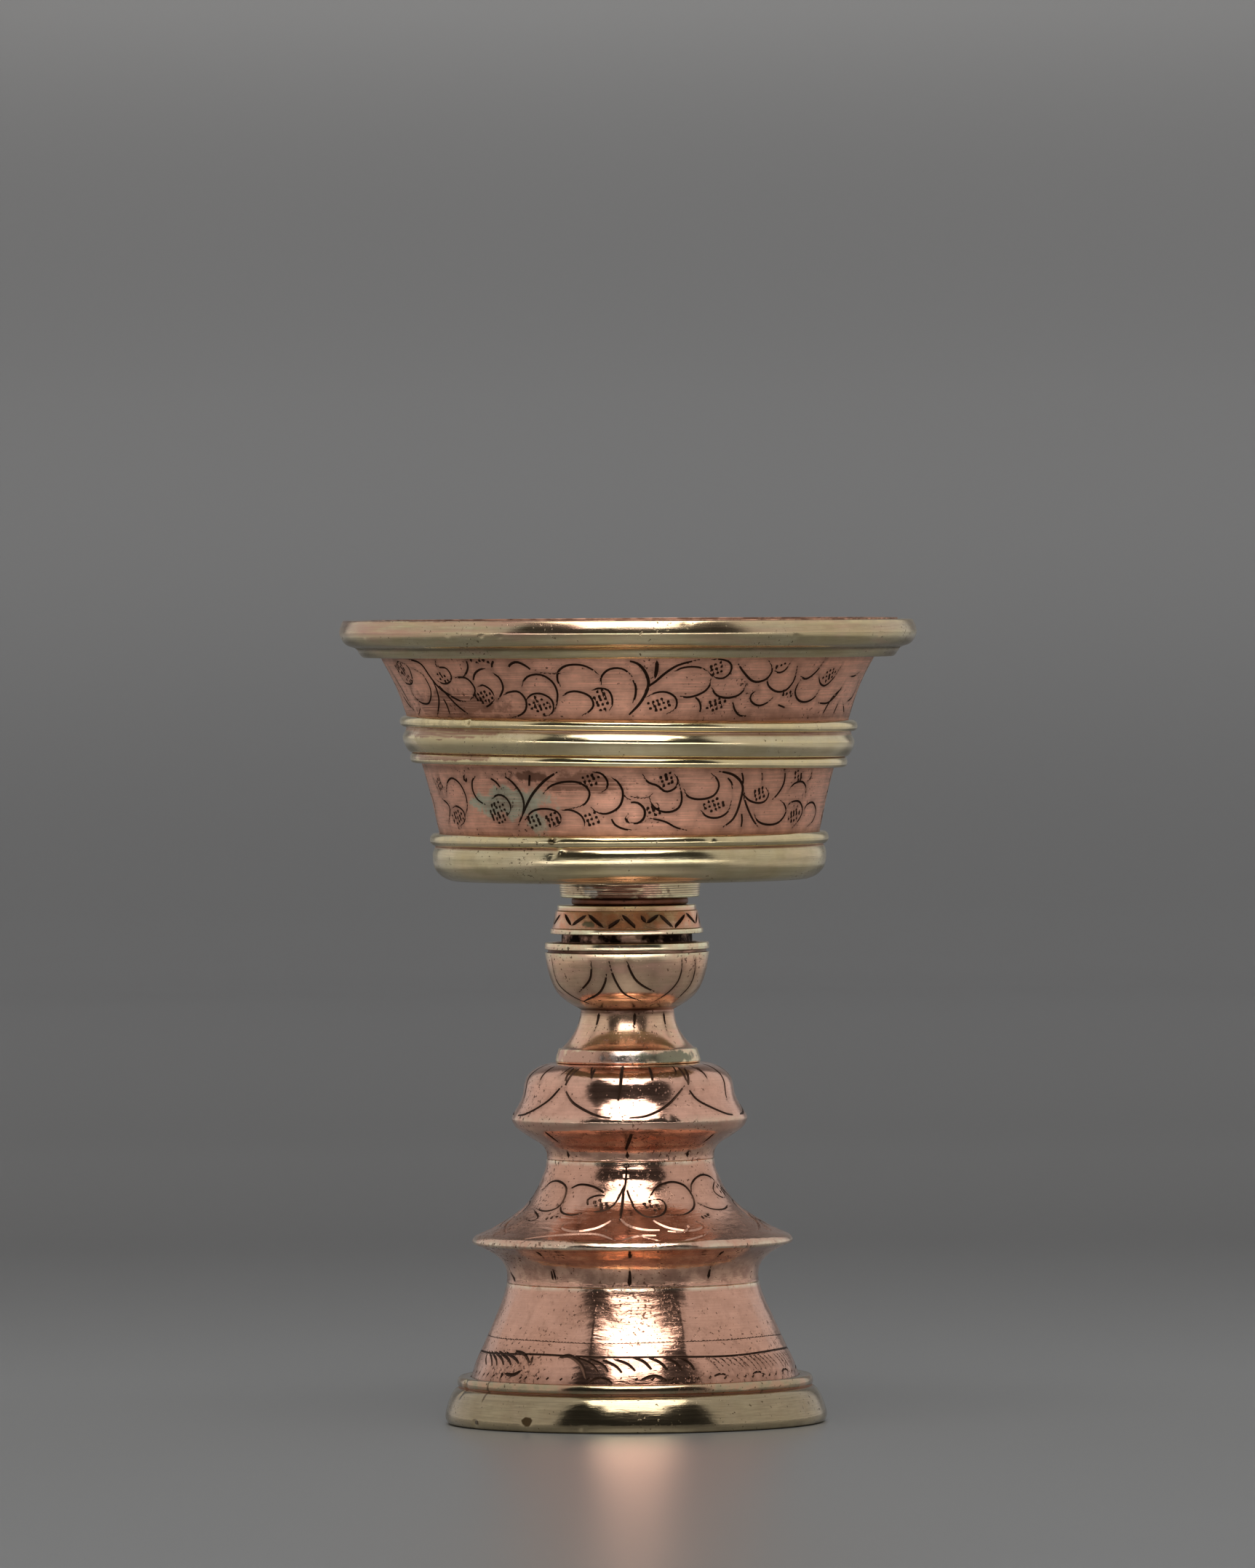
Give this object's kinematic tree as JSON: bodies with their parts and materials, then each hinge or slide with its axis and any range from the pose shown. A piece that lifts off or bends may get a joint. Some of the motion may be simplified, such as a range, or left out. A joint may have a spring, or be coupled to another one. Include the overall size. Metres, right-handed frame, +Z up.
{
  "type": "butter lamp",
  "caption": "Footed butter lamp: flared copper bowl with brass mouldings, screwed onto a turned stem and a hollow flared copper foot with a brass base ring.",
  "frame": {"origin": "on the lamp's axis, in the plane of the foot ring's flat bottom that the lamp stands on", "axes": "+Z up along the axis of the lamp, towards the rim; the picture looks along +Y"},
  "size_m": [0.0756, 0.0756, 0.105],
  "materials": {
    "bowl_copper": "chased copper, satin, aged brown in the cuts",
    "copper": "chased copper, polished with fine scratches",
    "dark_copper": "darkened copper, dull",
    "stem_brass": "turned low-zinc brass, pinkish, polished",
    "brass": "pale yellow brass, satin, worn"
  },
  "bodies": {
    "base": {"foot_ring": "brass", "foot_skirt": "copper", "foot_flare": "copper", "foot_lotus": "copper", "stem": "stem_brass", "tang_washer": "brass", "tang_nut": "brass"},
    "washer": {"seat_washer": "dark_copper"},
    "bowl": {"bowl_spigot": "stem_brass", "bowl_pan": "brass", "bowl_shell": "bowl_copper", "waist_band": "brass", "rim_band": "brass", "wick_holder": "brass"}
  },
  "joints": [
    {"name": "bowl_rise", "type": "slide", "parent": "base", "child": "washer", "axis": [0, 0, 1], "range_m": [0, 0.0061]},
    {"name": "bowl_unscrew", "type": "hinge", "parent": "washer", "child": "bowl", "pos_m": [0, 0, 0.06865], "axis": [0, 0, 1], "range_deg": [0, 1440]}
  ],
  "couplings": [
    {"joint": "bowl_rise", "follows": "bowl_unscrew", "m_per_rad": 0.00023873}
  ]
}
